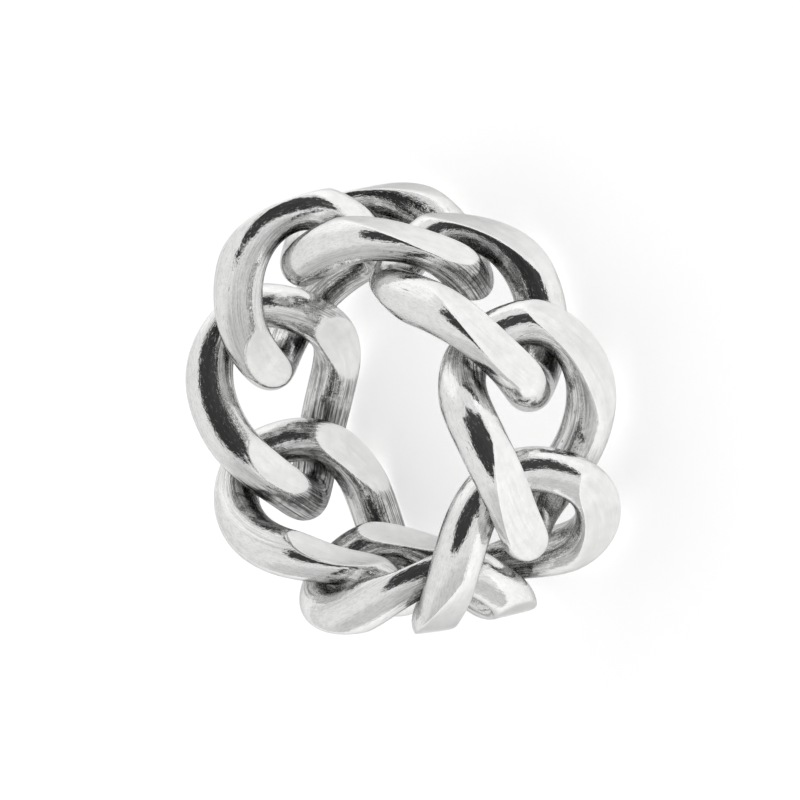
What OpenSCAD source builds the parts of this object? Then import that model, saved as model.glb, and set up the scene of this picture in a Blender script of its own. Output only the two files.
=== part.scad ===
// Chain link ring: a heavy finger ring made of eight loose curb links of solid silver wire.
// Each link is an oval of round wire, twisted so that its two end bends lean opposite ways
// out of the band, and it passes through the link before it and the link after it. Every link
// is ground flat on its outside by itself, once at each end, and the closed loop of links is
// ground round inside, which leaves a long flat at each end of every strand. The ring lies on
// its side, its axis along Z, on the plane Z = 0.

/* [Band] */
// Diameter of the finger hole, between the flats ground on the inside of the links
finger_d = 19.8; // [18:0.2:22]
// Thickness of the band where its outside flats are highest
band_t = 4.25; // [4.1:0.05:4.7]
// How much of that thickness lies inside the middle line of the chain, as a share
inside_share = 0.54; // [0.5:0.01:0.56]
// Width of the band, over the two strands of a link
band_w = 13.4; // [12.4:0.1:14.6]

/* [Wire] */
// Thickness of the wire half way along a link's strands
wire_d = 3.25; // [3:0.05:3.4]
// How much thinner the wire is at a link's end bends, where the links wear on each other
wire_taper = 0.3; // [0.1:0.05:0.5]

/* [Links] */
// Play between the end bends of two neighbouring links, along the band
end_play = 1.2; // [0.9:0.05:1.5]
// Gap between the strands of two neighbouring links where one crosses over the other
cross_gap = 0.5; // [0.4:0.02:0.7]
// Squareness of a link's oval: 2 is an ellipse, and more is closer to a rectangle
squareness = 2.25; // [2:0.05:2.6]
// How far a link is bent round with the band: 0 leaves it straight, 1 follows the band
link_bend = 0.83; // [0.7:0.01:1]
// How round the flats on a link's outside are: 0 is a plane, 1 follows the band, more is rounder
flat_bend = 1.27; // [0.8:0.01:1.5]
// Distance along a link between the highest places of its outside flats, one at each end
flats_apart = 3.6; // [3:0.1:4.4]

/* [Hidden] */
NODES = ["link_1", "link_2", "link_3", "link_4", "link_5", "link_6", "link_7", "link_8"];

// How each link lies in the loose chain, a row for each: its turns in degrees about the line
// of the chain, about the ring's axis and about the way out of the band, and its shifts along
// the band, across it and out of it, as shares of the wire's thickness
ROLL = 0;
TIP = 1;
TURN = 2;
ALONG = 3;
ACROSS = 4;
OUT = 5;
LIES = [
    [0.5, 5, -3, -0.02, 0.07, 0.14],
    [-0.5, -11.5, 5, 0.01, -0.03, -0.03],
    [2.5, 3.5, -4, -0.09, 0.06, -0.21],
    [1, 5.5, -3.5, -0.1, 0.17, 0.07],
    [-3, -3.5, -5, 0.04, 0.02, 0.1],
    [-1.5, -2.5, -1.5, -0.03, -0.01, -0.06],
    [1.5, 0.5, -0.5, -0.11, -0.07, -0.03],
    [3, -1, -3.5, -0.11, -0.06, 0.03]
];

// Faces round the wire, and sections along it
SIDES = 16;
SECTIONS = 56;

inner_r = finger_d / 2;
mid_r = inner_r + inside_share * band_t;
outer_r = inner_r + band_t;
link_count = len(NODES);
link_angle = 360 / link_count;
pitch = 2 * PI * mid_r / link_count;

// The radius of the curve that a link is bent to, and of the two that its outside is ground to
bend_r = mid_r / link_bend;
flat_r = outer_r / flat_bend;

// Half the length and half the width of the oval that the middle of the wire follows
half_l = (pitch + wire_d - wire_taper + end_play) / 2;
half_w = (band_w - wire_d) / 2;

// Strands of neighbouring links cross half a pitch from the middle of each. There the twist
// holds the two wires apart, one to the outside of the band and one to the inside.
cross_share = pitch / 2 / half_l;
cross_wire = wire_d - wire_taper * pow(cross_share, 2);
cross_reach = half_w * pow(1 - pow(cross_share, squareness), 1 / squareness);
twist = asin((cross_wire + cross_gap) / 2 / cross_reach) / cross_share;

function signed_power(v, e) = sign(v) * pow(abs(v), e);
function unit(v) = v / norm(v);

// The wire's place along the link and across it, as shares, at turn t round the oval
function along(t) = signed_power(cos(t), 2 / squareness);
function across(t) = signed_power(sin(t), 2 / squareness);
function wire_r(t) = (wire_d - wire_taper * pow(along(t), 2)) / 2;

// The middle of the wire at turn t, as run along the link, width across it and height out of it,
// first of the straight link and then of the bent one
function straight(t) =
    let (reach = half_w * across(t), lean = -twist * along(t))
    [half_l * along(t), reach * cos(lean), reach * sin(lean)];
function bent(t) =
    let (p = straight(t), a = p.x / bend_r * 180 / PI, r = bend_r + p.z)
    [r * sin(a), p.y, r * cos(a) - bend_r];

// The points round the wire at turn t of the oval
function section(t) =
    let (
        step = 360 / SECTIONS,
        here = bent(t),
        run = unit(bent(t + step) - bent(t - step)),
        side = unit(here - (here * run) * run),
        up = cross(run, side)
    )
    [for (face = [0 : SIDES - 1])
        let (a = 360 * face / SIDES)
        here + wire_r(t) * (cos(a) * side + sin(a) * up)];

// The twisted wire of a link, before it is ground
module wire() {
    points = [for (s = [0 : SECTIONS - 1]) each section(360 * s / SECTIONS)];
    faces = [
        for (s = [0 : SECTIONS - 1]) for (face = [0 : SIDES - 1])
        let (
            here = s * SIDES,
            after = (s + 1) % SECTIONS * SIDES,
            beside = (face + 1) % SIDES
        )
        each [[here + face, here + beside, after + beside], [here + face, after + beside, after + face]]
    ];
    polyhedron(points, faces);
}

// Turns in degrees about the three axes and a shift, as matrices
function about_x(a) = [[1, 0, 0, 0], [0, cos(a), -sin(a), 0], [0, sin(a), cos(a), 0], [0, 0, 0, 1]];
function about_y(a) = [[cos(a), 0, sin(a), 0], [0, 1, 0, 0], [-sin(a), 0, cos(a), 0], [0, 0, 0, 1]];
function about_z(a) = [[cos(a), -sin(a), 0, 0], [sin(a), cos(a), 0, 0], [0, 0, 1, 0], [0, 0, 0, 1]];
function shifted(v) = [[1, 0, 0, v.x], [0, 1, 0, v.y], [0, 0, 1, v.z], [0, 0, 0, 1]];

// From a link's own frame to how it lies in the loose chain, and on to its place in the ring,
// where its run goes round the ring, its width goes up and its height goes out
function laid(lie) =
    shifted(wire_d * [lie[ALONG], lie[ACROSS], lie[OUT]])
    * about_z(lie[TURN]) * about_y(lie[TIP]) * about_x(lie[ROLL]);
function placed(link) =
    about_z(link_angle * (1 - link)) * shifted([mid_r, 0, 0]) * about_z(90) * about_x(90)
    * laid(LIES[link - 1]);

// The lowest link rests on Z = 0
lift = -min([
    for (link = [1 : link_count]) for (s = [0 : SECTIONS - 1]) for (p = section(360 * s / SECTIONS))
    placed(link)[2] * [p.x, p.y, p.z, 1]
]);

// A round drum, taller than the band both ways
module drum(r) {
    cylinder(h = 2 * band_w, r = r, center = true, $fn = 96);
}

// The two drums that a link's outside is ground to, one at each end, in the link's own frame
module outside_drums() {
    for (end = [-1, 1])
        translate([end * flats_apart / 2, 0, outer_r - mid_r - flat_r]) rotate([90, 0, 0]) drum(flat_r);
}

// A link, ground on its outside by itself, and on its inside together with all the others
module link(number) {
    color("silver") translate([0, 0, lift]) difference() {
        multmatrix(placed(number)) intersection() {
            wire();
            outside_drums();
        }
        drum(inner_r);
    }
}

link(1);  // link_1
link(2);  // link_2
link(3);  // link_3
link(4);  // link_4
link(5);  // link_5
link(6);  // link_6
link(7);  // link_7
link(8);  // link_8
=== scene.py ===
"""A heavy chain link ring of silver wire, lying on its side on a pale studio floor."""
import math
from functools import reduce
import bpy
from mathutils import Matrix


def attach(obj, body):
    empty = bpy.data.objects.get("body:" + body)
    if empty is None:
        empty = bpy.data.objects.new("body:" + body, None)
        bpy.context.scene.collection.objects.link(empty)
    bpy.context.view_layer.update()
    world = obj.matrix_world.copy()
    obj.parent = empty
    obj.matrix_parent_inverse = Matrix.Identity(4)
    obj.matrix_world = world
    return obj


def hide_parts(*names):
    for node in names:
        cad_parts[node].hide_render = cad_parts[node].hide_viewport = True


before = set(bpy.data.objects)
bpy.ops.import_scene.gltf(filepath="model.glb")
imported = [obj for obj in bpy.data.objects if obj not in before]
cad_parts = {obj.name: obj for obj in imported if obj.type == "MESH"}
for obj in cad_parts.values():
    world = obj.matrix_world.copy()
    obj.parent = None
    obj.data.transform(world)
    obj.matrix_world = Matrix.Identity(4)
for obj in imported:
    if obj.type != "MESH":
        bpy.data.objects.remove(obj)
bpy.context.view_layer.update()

from types import SimpleNamespace
import bpy
import numpy as np
from mathutils import Matrix, Vector

MM = 0.001
FULL_TURN = 2 * math.pi

# The ring's sizes, in millimetres, and its shares, as in the CAD source
FINGER_D = 19.8
BAND_T = 4.25
INSIDE_SHARE = 0.54
BAND_W = 13.4
WIRE_D = 3.25
WIRE_TAPER = 0.3
END_PLAY = 1.2
CROSS_GAP = 0.5
SQUARENESS = 2.25
LINK_BEND = 0.83
FLAT_BEND = 1.27
FLATS_APART = 3.6

# How each link lies in the loose chain: turns in degrees about the chain's line, the ring's axis
# and the way out of the band, then shifts along, across and out, as shares of the wire
LIES = [
    [0.5, 5, -3, -0.02, 0.07, 0.14],
    [-0.5, -11.5, 5, 0.01, -0.03, -0.03],
    [2.5, 3.5, -4, -0.09, 0.06, -0.21],
    [1, 5.5, -3.5, -0.1, 0.17, 0.07],
    [-3, -3.5, -5, 0.04, 0.02, 0.1],
    [-1.5, -2.5, -1.5, -0.03, -0.01, -0.06],
    [1.5, 0.5, -0.5, -0.11, -0.07, -0.03],
    [3, -1, -3.5, -0.11, -0.06, 0.03],
]
LINKS = len(LIES)
# How much painted shade and stain each link gets close to the link before it, and to the link after it
LINK_SHADE_AND_STAINS = [
    [0.5, 0.9], [0.35, 1.0], [0.12, 0.6], [1.0, 0.65],
    [0.5, 0.9], [0.8, 0.65], [0.55, 0.8], [2.4, 1.0],
]
# Painted shade and stain on its two end bends all round: at the link before it, and at the link after it
END_SHADE_AND_STAINS = [
    [0, 0], [0, 0.75], [0, 0], [0, 0.3],
    [0, 0], [0, 0], [0, 0], [0.95, 0],
]
# How far a neighbour's painted shade and stain reach, in millimetres, and how finely its wire is followed for
# it
SHADE_AND_STAIN_REACH = 2.2
SHADE_AND_STAIN_SAMPLES = 90
# Where an end bend's painted shade and stain begin, as a share of the link's half length, and where they are
# full
END_FROM = 0.75
END_FULL = 0.9

# Sections along a link's wire, and points round each
SECTIONS = 360
SIDES = 120
# How softly the edges of the ground flats are worn round, in millimetres
EDGE_WEAR = 0.07
# How much is ground away where a surface counts as flat, in millimetres
FLAT_CUT = 0.1
# How far apart two links' scratches are taken from the noise, in millimetres
SCRATCHES_APART = 50

INNER_R = FINGER_D / 2
MID_R = INNER_R + INSIDE_SHARE * BAND_T
OUTER_R = INNER_R + BAND_T
PITCH = FULL_TURN * MID_R / LINKS
BEND_R = MID_R / LINK_BEND
FLAT_R = OUTER_R / FLAT_BEND
HALF_L = (PITCH + WIRE_D - WIRE_TAPER + END_PLAY) / 2
HALF_W = (BAND_W - WIRE_D) / 2
CROSS_SHARE = PITCH / 2 / HALF_L
CROSS_WIRE = WIRE_D - WIRE_TAPER * CROSS_SHARE ** 2
CROSS_REACH = HALF_W * (1 - CROSS_SHARE ** SQUARENESS) ** (1 / SQUARENESS)
TWIST = math.asin((CROSS_WIRE + CROSS_GAP) / 2 / CROSS_REACH) / CROSS_SHARE

# Scratches drawn out along the wire: their length and width in millimetres, and the noise's detail
SCRATCHES = {
    "fine": (4.0, 0.12, 2.0),
    "middling": (6.0, 0.25, 2.0),
    "broad": (9.0, 0.8, 1.0),
    "grit": (0.32, 0.12, 2.0),
    "brush": (2.5, 0.2, 2.0),
    "pits": (0.7, 0.16, 1.0),
}
SCRATCH_ROUGHNESS = 0.6
# Marks that run no way of their own: how many there are to a millimetre, and the noise's detail
MARKS = {
    "patches": (0.22, 2.0),
    "dents": (0.45, 2.0),
    "cloud": (0.5, 3.0),
    "lumps": (0.9, 1.0),
    "mottle": (1.4, 3.0),
}

# Smooth steps that the silver's fields go through: from and to, and then, where it isn't 0 and 1,
# what the step gives there. The first four mark its hollows, which get painted shade and tarnish.
FACES_HOLE = (0.15, 0.6)
LOW_IN_HOLE = (4.0, 9.0, 1.0, 0.3)
FACES_MIDDLE = (0.45, 0.95, 0.0, 0.8)
NEAR_LINK = (0.1, 0.7)
# Where its scratches are deep, where links rub it, and where it is pitted, lined, and given painted
# shade and tarnish
BRUSHED = (0.42, 0.62, 0.12, 0.6)
RUBBED = (0.35, 0.9)
PITTED = (0.7, 0.76)
LINED = (0.52, 0.4)
SHADED_AND_TARNISHED = (0.3, 0.6, 0.35, 1.0)
# What each leaves of its brightness
SHADE_AND_TARNISH_DEPTH = (0.35, 0.65, 0.42, 0.88)
SHADE_AND_STAIN_DEPTH = (0.4, 0.6, 0.32, 0.82)
MOTTLE_SHADE = (0.2, 0.8, 0.9, 1.0)
BRUSH_SHADE = (0.35, 0.6, 0.93, 1.0)
CLOUD_SHADE = (0.3, 0.62, 0.92, 1.0)
# Where painted shade with stain, and grit, tell in its shade, and where stain and grit tell in its roughness
CONTACT_SHADED = (0.35, 1.0)
GRIT_SHADED = (0.3, 0.6)
STAIN_ROUGH = (0.2, 0.9)
GRIT_ROUGH = (0.54, 0.66)

# How much of the lines is left outside the hollows, and in them
LINES_KEPT = (0.05, 1.0)
# From here on, a pair of numbers is for the round wire and for a flat. How much of the scratches'
# height is left, and how dark the marks are:
SCRATCHES_KEPT = (1.0, 0.25)
LINE_DARKNESS = (0.56, 0.3)
GRIT_SHADE = (0.88, 0.95)
PIT_SHADE = 0.3
# Heights in millimetres
FINE_HEIGHT = 0.014
MIDDLING_HEIGHT = 0.017
BROAD_HEIGHT = 0.03
DENT_HEIGHT = (0.07, 0.05)
MOTTLE_HEIGHT = (0.012, 0.02)
GRIT_HEIGHT = (0.012, 0.003)
HOLLOW_GRIT_HEIGHT = 0.025
LUMP_HEIGHT = 0.25
PIT_DEPTH = 0.02

# Roughness, and what stain and grit add to it
ROUGHNESS = (0.08, 0.14)
STAIN_ROUGHNESS = 0.2
GRIT_ROUGHNESS = (0.2, 0.0)
# How much of its blue the silver keeps, and its tint at a glancing angle
BLUE_KEPT = 0.99
GLANCING_TINT = (0.6, 0.6, 0.6, 1)

# The camera, from the photograph: which way it stands from the ring, and how it is turned about its
# own line of sight, in degrees; its distance in millimetres and its scale in pixels to a millimetre
VIEW_AZIMUTH = -123.95
VIEW_HEIGHT = 43.86
VIEW_ROLL = -102.43
VIEW_DISTANCE = 350.0
SCALE = 15.22
PICTURE = 800
# Where the middle of the ring falls in the picture, in pixels
RING_X = 403.1
RING_Y = 414.8
# How close the camera still sees, in metres
NEAREST = 0.01

# Half the floor's side in metres, its two greys, the scale and detail of the clouds that mix them,
# how rough it is and how much light it gives off
FLOOR_HALF = 1.5
FLOOR_GREYS = ((0.78, 0.78, 0.78, 1), (0.8, 0.8, 0.8, 1))
FLOOR_CLOUDS = (8.0, 2.0)
FLOOR_ROUGHNESS = 0.5
FLOOR_LIGHT = 0.59

# The white tent round the ring: how bright it is, and its patches. For each, its middle and its
# half sizes, in degrees right and up from the camera's place, how soft its edge is and how bright
# it is. A later patch covers an earlier one. The last three are the dark gap for the photographer.
TENT_LIGHT = 0.8
TENT_PATCHES = [
    [(-115, 52), (50, 26), 0.8, 1.0],
    [(0, -70), (180, 35), 0.8, 0.6],
    [(-22, 8), (30, 27), 0.08, 0.045],
    [(22, 27), (24, 26), 0.08, 0.055],
    [(-12, 38), (25, 13), 0.08, 0.055],
]
# How square a patch is: 2 is an ellipse, and more is closer to a rectangle
PATCH_SQUARENESS = 3.0


def signed_power(v, e):
    return np.sign(v) * np.abs(v) ** e


def unit(rows):
    return rows / np.linalg.norm(rows, axis=-1, keepdims=True)


def about(axis, degrees):
    return Matrix.Rotation(math.radians(degrees), 4, axis)


def placed(link):
    """From a link's own frame (run, width, height) to its place in the ring, as a matrix."""
    roll, tip, turn, *shift = LIES[link]
    laid = Matrix.Translation([WIRE_D * share for share in shift])
    laid = laid @ about("Z", turn) @ about("Y", tip) @ about("X", roll)
    stood = Matrix.Translation((MID_R, 0, 0)) @ about("Z", 90) @ about("X", 90)
    return np.array(about("Z", -360 / LINKS * link) @ stood @ laid)


def moved(points, matrix):
    return points @ matrix[:3, :3].T + matrix[:3, 3]


def middle_line(turns):
    """The middle of a link's wire in the link's own frame, and the wire's radius, round its oval."""
    along = signed_power(np.cos(turns), 2 / SQUARENESS)
    across = signed_power(np.sin(turns), 2 / SQUARENESS)
    lean = -TWIST * along
    angle = HALF_L * along / BEND_R
    out = BEND_R + HALF_W * across * np.sin(lean)
    line = np.stack([out * np.sin(angle), HALF_W * across * np.cos(lean), out * np.cos(angle) - BEND_R], 1)
    return line, (WIRE_D - WIRE_TAPER * along ** 2) / 2


def swept(line, radius):
    """Points of the wire as a grid (sections, points round, xyz), and the way out of the wire at each."""
    run = unit(np.roll(line, -1, 0) - np.roll(line, 1, 0))
    side = unit(line - (line * run).sum(1, keepdims=True) * run)
    up = np.cross(run, side)
    angle = np.linspace(0, FULL_TURN, SIDES, endpoint=False)
    ring = np.cos(angle)[None, :, None] * side[:, None] + np.sin(angle)[None, :, None] * up[:, None]
    return line[:, None] + radius[:, None, None] * ring, ring


def worn_limit(value, limit):
    """value where it is well under limit, and limit where it is well over, with a worn edge between."""
    return limit - EDGE_WEAR * np.logaddexp(0, (limit - value) / EDGE_WEAR)


def ground_outside(points):
    """A link's points, in its own frame, ground round on its outside, once at each end."""
    top = np.where(points[..., 0] < 0, -FLATS_APART / 2, FLATS_APART / 2)
    centre = OUTER_R - MID_R - FLAT_R
    run, height = points[..., 0] - top, points[..., 2] - centre
    out = np.hypot(run, height)
    kept = worn_limit(out, FLAT_R)
    share = kept / out
    done = np.stack([top + run * share, points[..., 1], centre + height * share], -1)
    return done, out - kept


def ground_inside(points):
    """Points in the ring's frame, ground round to the finger hole."""
    out = np.hypot(points[..., 0], points[..., 1])
    kept = -worn_limit(-out, -INNER_R)
    share = kept / out
    done = np.stack([points[..., 0] * share, points[..., 1] * share, points[..., 2]], -1)
    return done, kept - out


TURNS = np.linspace(0, FULL_TURN, SECTIONS, endpoint=False)
LINE, RADIUS = middle_line(TURNS)
WIRE, WAY_OUT = swept(LINE, RADIUS)
LIFT = -min(moved(WIRE, placed(link))[..., 2].min() for link in range(LINKS))


def store(mesh, name, values, kind):
    """Keeps a field of values on the mesh's points."""
    field = mesh.attributes.new(name, kind, "POINT")
    field.data.foreach_set("vector" if kind == "FLOAT_VECTOR" else "value", values.astype(np.float32).ravel())


def scratch_places(link):
    """Where a link's points are along its wire and round it, each on a circle of true size, on
    which the scratches run on without a seam. Each link has its own part of the noise."""
    step = np.linalg.norm(np.roll(LINE, -1, 0) - LINE, axis=1)
    whole = step.sum()
    along = FULL_TURN * (np.cumsum(step) - step) / whole
    round_wire = np.linspace(0, FULL_TURN, SIDES, endpoint=False)
    places = []
    for angle, radius in zip(np.meshgrid(along, round_wire, indexing="ij"), (whole / FULL_TURN, WIRE_D / 2)):
        x = radius * np.cos(angle) + SCRATCHES_APART * link
        places.append(np.stack([x, radius * np.sin(angle), np.zeros_like(x)], -1))
    return places


def shade_and_stain(link, points, flat):
    """How much painted shade and stain a link gets: most where a neighbour's wire is close, and 0 where it is
    out of reach.
    """
    line, radius = middle_line(np.linspace(0, FULL_TURN, SHADE_AND_STAIN_SAMPLES, endpoint=False))
    stain = np.zeros(points.shape[:2])
    for other, share in zip((link - 1, (link + 1) % LINKS), LINK_SHADE_AND_STAINS[link]):
        gap = np.full(points.shape[:2], np.inf)
        for place, size in zip(moved(line, placed(other)), radius):
            gap = np.minimum(gap, np.linalg.norm(points - place, axis=-1) - size)
        stain = np.maximum(stain, share * (1 - gap / SHADE_AND_STAIN_REACH))
    before, after = END_SHADE_AND_STAINS[link]
    along = signed_power(np.cos(TURNS), 2 / SQUARENESS)
    at_end = np.clip((np.abs(along) - END_FROM) / (END_FULL - END_FROM), 0, 1)
    end = np.where(along > 0, before, after) * at_end
    return np.clip(np.maximum(stain, end[:, None] * (1 - flat)), 0, 1)


def link_mesh(link):
    """The mesh of one link, with the fields that its material reads."""
    matrix = placed(link)
    points, cut_outside = ground_outside(WIRE)
    points, cut_inside = ground_inside(moved(points, matrix))
    mesh = bpy.data.meshes.new(f"fine_link_{link + 1}")
    first = np.arange(SECTIONS * SIDES).reshape(SECTIONS, SIDES)
    after = np.roll(first, -1, 0)
    quads = np.stack([first, np.roll(first, -1, 1), np.roll(after, -1, 1), after], -1).reshape(-1, 4)
    raised = points + np.array([0, 0, LIFT])
    mesh.from_pydata((raised.reshape(-1, 3) * MM).tolist(), [], quads.tolist())
    mesh.shade_smooth()

    along, round_wire = scratch_places(link)
    flat = np.clip((cut_outside + cut_inside) / FLAT_CUT, 0, 1)
    way_out = WAY_OUT @ matrix[:3, :3].T
    to_finger = -(way_out[..., :2] * unit(points[..., :2])).sum(-1)
    to_middle = -(WAY_OUT * unit(LINE)[:, None]).sum(-1)
    store(mesh, "along", along, "FLOAT_VECTOR")
    store(mesh, "round_wire", round_wire, "FLOAT_VECTOR")
    store(mesh, "flat", flat, "FLOAT")
    # The recess field: painted shade and stain near the neighbouring links, and there also rougher, lumpier
    # silver
    store(mesh, "recess", shade_and_stain(link, points, flat), "FLOAT")
    store(mesh, "to_finger", np.clip(to_finger, 0, 1), "FLOAT")
    store(mesh, "to_middle", np.clip(to_middle, 0, 1), "FLOAT")
    return mesh


class Tree:
    """Short names for making a node tree. A value is a number or another node's socket."""

    def __init__(self, tree):
        self.tree = tree
        tree.nodes.clear()

    def node(self, kind, inputs=None, **settings):
        """A new node, with its settings, and its inputs by name or number."""
        made = self.tree.nodes.new(kind)
        for name, value in settings.items():
            setattr(made, name, value)
        for name, value in (inputs or {}).items():
            if isinstance(value, bpy.types.NodeSocket):
                self.tree.links.new(value, made.inputs[name])
            else:
                made.inputs[name].default_value = value
        return made

    def field(self, name, output="Fac"):
        """A field that store() kept on the mesh."""
        return self.node("ShaderNodeAttribute", attribute_name=name).outputs[output]

    def math(self, operation, *values):
        return self.node("ShaderNodeMath", dict(enumerate(values)), operation=operation).outputs[0]

    def total(self, *values):
        return reduce(lambda first, second: self.math("ADD", first, second), values)

    def product(self, *values):
        return reduce(lambda first, second: self.math("MULTIPLY", first, second), values)

    def most(self, *values):
        return reduce(lambda first, second: self.math("MAXIMUM", first, second), values)

    def dot(self, first, second):
        made = self.node("ShaderNodeVectorMath", {0: first, 1: second}, operation="DOT_PRODUCT")
        return made.outputs["Value"]

    def axes(self, vector):
        """A vector's x, y and z."""
        return self.node("ShaderNodeSeparateXYZ", {0: vector}).outputs

    def smooth(self, value, low, high, to_low=0.0, to_high=1.0):
        """value from low to high, as a smooth step from to_low to to_high."""
        inputs = {"Value": value, "From Min": low, "From Max": high, "To Min": to_low, "To Max": to_high}
        return self.node("ShaderNodeMapRange", inputs, interpolation_type="SMOOTHSTEP").outputs["Result"]

    def mix(self, share, first, second):
        return self.node("ShaderNodeMix", {0: share, 2: first, 3: second}, data_type="FLOAT").outputs[0]

    def mix_colour(self, share, first, second):
        return self.node("ShaderNodeMix", {0: share, 6: first, 7: second}, data_type="RGBA").outputs[2]

    def noise(self, vector, scale, detail, roughness=0.5, w=None):
        inputs = {"Vector": vector, "Scale": scale, "Detail": detail, "Roughness": roughness}
        if w is None:
            return self.node("ShaderNodeTexNoise", inputs).outputs[0]
        return self.node("ShaderNodeTexNoise", {**inputs, "W": w}, noise_dimensions="4D").outputs[0]


def new_material(name):
    material = bpy.data.materials.new(name)
    material.use_nodes = True
    return material, Tree(material.node_tree)


def silver_fields(t):
    """The noises and shares that the silver's relief, shade and roughness are made of, by name."""
    position = t.node("ShaderNodeNewGeometry").outputs["Position"]
    scaled = t.node("ShaderNodeVectorMath", {0: position, "Scale": 1 / MM}, operation="SCALE")
    place = scaled.outputs["Vector"]
    along = t.axes(t.field("along", "Vector"))
    round_wire = t.axes(t.field("round_wire", "Vector"))
    f = SimpleNamespace(flat=t.field("flat"), recess=t.field("recess"))
    for name, (length, width, detail) in SCRATCHES.items():
        vector = t.node("ShaderNodeCombineXYZ", {
            0: t.product(along[0], 1 / length),
            1: t.product(along[1], 1 / length),
            2: t.product(round_wire[0], 1 / width)}).outputs[0]
        w = t.product(round_wire[1], 1 / width)
        setattr(f, name, t.noise(vector, 1.0, detail, SCRATCH_ROUGHNESS, w))
    for name, (scale, detail) in MARKS.items():
        setattr(f, name, t.noise(place, scale, detail))

    # The hollows, which get painted shade and tarnish: in the finger hole, most near the floor, in the
    # middle of each link and close to its neighbours
    unground = t.math("SUBTRACT", 1.0, f.flat)
    above_floor = t.axes(place)[2]
    in_hole = t.product(t.smooth(t.field("to_finger"), *FACES_HOLE), t.smooth(above_floor, *LOW_IN_HOLE))
    in_link = t.smooth(t.field("to_middle"), *FACES_MIDDLE)
    f.hidden = t.product(t.most(in_hole, in_link, t.smooth(f.recess, *NEAR_LINK)), unground)
    # Where the scratches are deep, where links rub lumps up, and where pits, dark lines, and painted
    # shade with tarnish are
    f.brushed = t.most(t.smooth(f.patches, *BRUSHED), f.hidden)
    f.rubbed = t.product(t.smooth(f.recess, *RUBBED), unground)
    f.pitted = t.product(t.smooth(f.pits, *PITTED), f.brushed, unground)
    f.lined = t.product(t.smooth(f.fine, *LINED), t.mix(f.hidden, *LINES_KEPT))
    # Painted shade and tarnish, in patches over the hollows
    f.tarnished = t.product(f.hidden, t.smooth(f.mottle, *SHADED_AND_TARNISHED))
    return f


def silver_relief(t, f):
    """The height of the silver's surface, in millimetres."""
    scratches = t.total(
        t.product(f.fine, FINE_HEIGHT),
        t.product(f.middling, MIDDLING_HEIGHT),
        t.product(f.broad, BROAD_HEIGHT))
    on_wire, on_flat = GRIT_HEIGHT
    grit_height = t.mix(f.flat, t.mix(f.hidden, on_wire, HOLLOW_GRIT_HEIGHT), on_flat)
    return t.total(
        t.product(scratches, f.brushed, t.mix(f.flat, *SCRATCHES_KEPT)),
        t.product(f.dents, t.mix(f.flat, *DENT_HEIGHT)),
        t.product(f.mottle, t.mix(f.flat, *MOTTLE_HEIGHT)),
        t.product(f.grit, grit_height),
        t.product(f.lumps, f.rubbed, LUMP_HEIGHT),
        t.product(f.pitted, -PIT_DEPTH))


def silver_shade(t, f):
    """How bright the silver is, from 0 to 1: each factor darkens it a little in its own places; two add
    painted shade.
    """
    return t.product(
        t.math("SUBTRACT", 1.0, t.product(f.lined, t.mix(f.flat, *LINE_DARKNESS))),
        # Painted shade and tarnish in the hollows
        t.mix(f.tarnished, 1.0, t.smooth(f.middling, *SHADE_AND_TARNISH_DEPTH)),
        # Painted shade and stain close to the neighbouring links
        t.mix(t.smooth(f.recess, *CONTACT_SHADED), 1.0, t.smooth(f.fine, *SHADE_AND_STAIN_DEPTH)),
        t.mix(f.pitted, 1.0, PIT_SHADE),
        t.smooth(f.mottle, *MOTTLE_SHADE),
        t.smooth(f.grit, *GRIT_SHADED, t.mix(f.flat, *GRIT_SHADE), 1.0),
        t.mix(f.flat, 1.0, t.smooth(f.brush, *BRUSH_SHADE)),
        t.mix(f.flat, 1.0, t.smooth(f.cloud, *CLOUD_SHADE)))


def silver_roughness(t, f):
    """How rough the silver is: polished where it shows, and duller where it is stained or gritty."""
    return t.total(
        t.mix(f.flat, *ROUGHNESS),
        t.product(t.smooth(f.recess, *STAIN_ROUGH), STAIN_ROUGHNESS),
        t.product(t.smooth(f.grit, *GRIT_ROUGH), t.mix(f.flat, *GRIT_ROUGHNESS)))


def silver():
    """Solid silver: polished, scratched along the wire by hand finishing, with painted shade and tarnish in
    its hollows and where links touch.
    """
    material, t = new_material("silver")
    f = silver_fields(t)
    shade = silver_shade(t, f)
    colour = t.node("ShaderNodeCombineColor", {0: shade, 1: shade, 2: t.product(shade, BLUE_KEPT)})
    bump = t.node("ShaderNodeBump", {"Height": silver_relief(t, f), "Strength": 1.0, "Distance": MM})
    shader = t.node("ShaderNodeBsdfPrincipled", {
        "Base Color": colour.outputs[0],
        "Metallic": 1.0,
        "Roughness": silver_roughness(t, f),
        "Specular Tint": GLANCING_TINT,
        "Normal": bump.outputs[0]})
    t.node("ShaderNodeOutputMaterial", {"Surface": shader.outputs[0]})
    return material


def floor_material():
    material, t = new_material("floor")
    place = t.node("ShaderNodeTexCoord").outputs["Object"]
    shader = t.node("ShaderNodeBsdfPrincipled", {
        "Base Color": t.mix_colour(t.noise(place, *FLOOR_CLOUDS), *FLOOR_GREYS),
        "Roughness": FLOOR_ROUGHNESS,
        "Emission Color": (1, 1, 1, 1),
        "Emission Strength": FLOOR_LIGHT})
    t.node("ShaderNodeOutputMaterial", {"Surface": shader.outputs[0]})
    return material


def view_turn():
    """How the camera is turned: its columns point right, up and back towards the camera."""
    turn = Matrix.Rotation(math.radians(VIEW_AZIMUTH + 90), 3, "Z")
    turn = turn @ Matrix.Rotation(math.radians(90 - VIEW_HEIGHT), 3, "X")
    return turn @ Matrix.Rotation(math.radians(VIEW_ROLL), 3, "Z")


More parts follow.
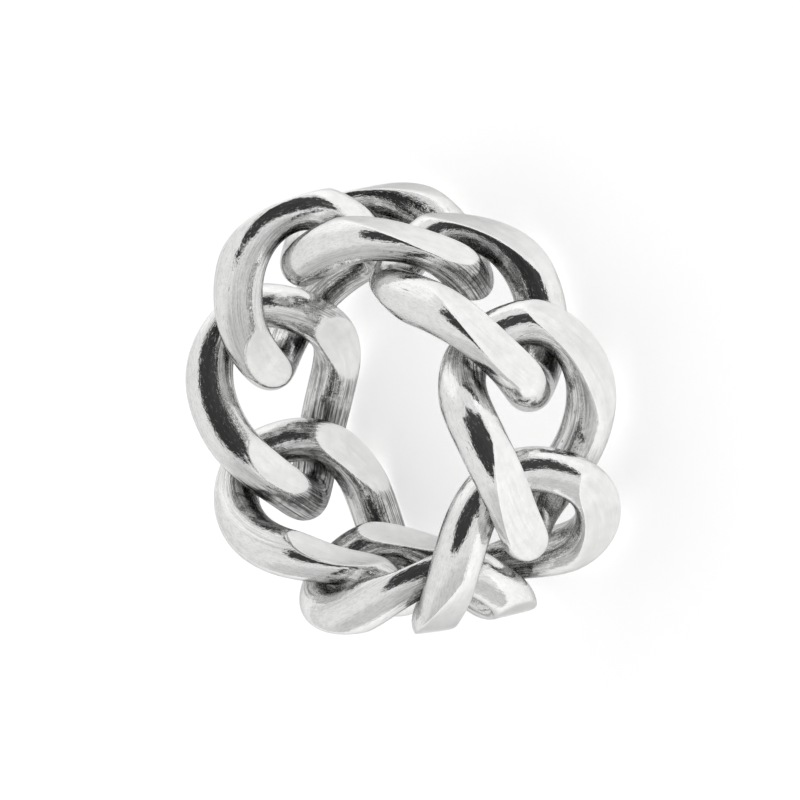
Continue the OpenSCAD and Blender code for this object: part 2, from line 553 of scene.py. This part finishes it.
def add_camera():
    data = bpy.data.cameras.new("camera")
    camera = bpy.data.objects.new("camera", data)
    bpy.context.scene.collection.objects.link(camera)
    turn = view_turn()
    right, up, back = turn.col
    middle = Vector((0, 0, LIFT))
    aside = right * ((PICTURE / 2 - RING_X) / SCALE) + up * ((RING_Y - PICTURE / 2) / SCALE)
    camera.matrix_world = Matrix.Translation((middle + aside + back * VIEW_DISTANCE) * MM) @ turn.to_4x4()
    data.lens = data.sensor_width * VIEW_DISTANCE * SCALE / PICTURE
    data.clip_start = NEAREST
    bpy.context.scene.camera = camera


def add_floor():
    corners = [(x * FLOOR_HALF, y * FLOOR_HALF, 0) for x, y in ((-1, -1), (1, -1), (1, 1), (-1, 1))]
    mesh = bpy.data.meshes.new("floor")
    mesh.from_pydata(corners, [], [(0, 1, 2, 3)])
    floor = bpy.data.objects.new("floor", mesh)
    bpy.context.scene.collection.objects.link(floor)
    mesh.materials.append(floor_material())


def add_studio():
    """A white tent round the ring, with a dark gap where the photographer stands."""
    world = bpy.data.worlds.new("studio")
    world.use_nodes = True
    bpy.context.scene.world = world
    t = Tree(world.node_tree)
    way = t.node("ShaderNodeTexCoord").outputs["Generated"]
    right, up, back = (tuple(axis) for axis in view_turn().col)
    beside = t.math("ARCTAN2", t.dot(way, right), t.dot(way, back))
    above = t.math("ARCSINE", t.dot(way, up))

    def reach(angle, middle, size):
        """How far an angle is from a patch's middle: 0 there, and 1 at its edge."""
        share = t.math("DIVIDE", t.math("SUBTRACT", angle, math.radians(middle)), math.radians(size))
        return t.math("POWER", t.math("ABSOLUTE", share), PATCH_SQUARENESS)

    light = TENT_LIGHT
    for (middle_x, middle_y), (size_x, size_y), soft, bright in TENT_PATCHES:
        out = t.total(reach(beside, middle_x, size_x), reach(above, middle_y, size_y))
        light = t.mix(t.smooth(out, 1 + soft, 1 - soft), light, bright)
    background = t.node("ShaderNodeBackground", {"Color": (1, 1, 1, 1), "Strength": light})
    t.node("ShaderNodeOutputWorld", {"Surface": background.outputs[0]})


def main():
    add_camera()
    add_floor()
    add_studio()
    material = silver()
    for link in range(LINKS):
        name = f"link_{link + 1}"
        piece = bpy.data.objects.new(f"silver_{name}", link_mesh(link))
        bpy.context.scene.collection.objects.link(piece)
        piece.data.materials.append(material)
        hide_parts(name)
        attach(piece, "root")
    bpy.context.scene.view_settings.view_transform = "Standard"


main()
